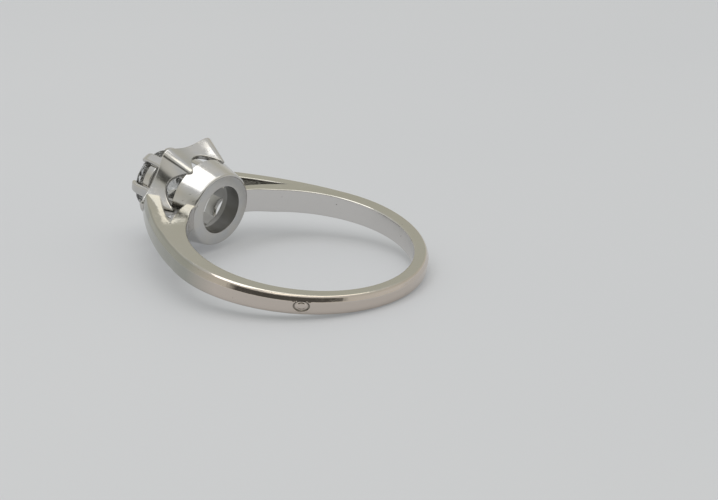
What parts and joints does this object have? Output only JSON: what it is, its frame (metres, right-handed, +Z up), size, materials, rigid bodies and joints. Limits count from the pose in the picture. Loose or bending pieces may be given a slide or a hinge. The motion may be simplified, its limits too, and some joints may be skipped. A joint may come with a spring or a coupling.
{
  "type": "solitaire ring",
  "caption": "Slim white-gold finger ring with forked shoulders and a star-shaped head whose claws hold a round colourless stone, lying on its side.",
  "frame": {"origin": "on the surface that the ring lies on, under the centre of its bounding box", "axes": "+X from the head towards the back of the band, +Y from the front arm towards the rear arm, +Z up; the finger axis leans about 9 degrees from +Z towards +X"},
  "size_m": [0.0256, 0.02, 0.0081],
  "materials": {
    "white_gold_band": "worn polish",
    "white_gold_head": "worn polish",
    "brilliant": "faceted, polished"
  },
  "bodies": {
    "root": {"shank": "white_gold_band", "collar": "white_gold_head", "corolla": "white_gold_head", "seat_ring": "white_gold_head", "claw_1": "white_gold_head", "claw_2": "white_gold_head", "claw_3": "white_gold_head", "claw_4": "white_gold_head", "claw_5": "white_gold_head", "claw_6": "white_gold_head", "stone": "brilliant"}
  },
  "joints": []
}
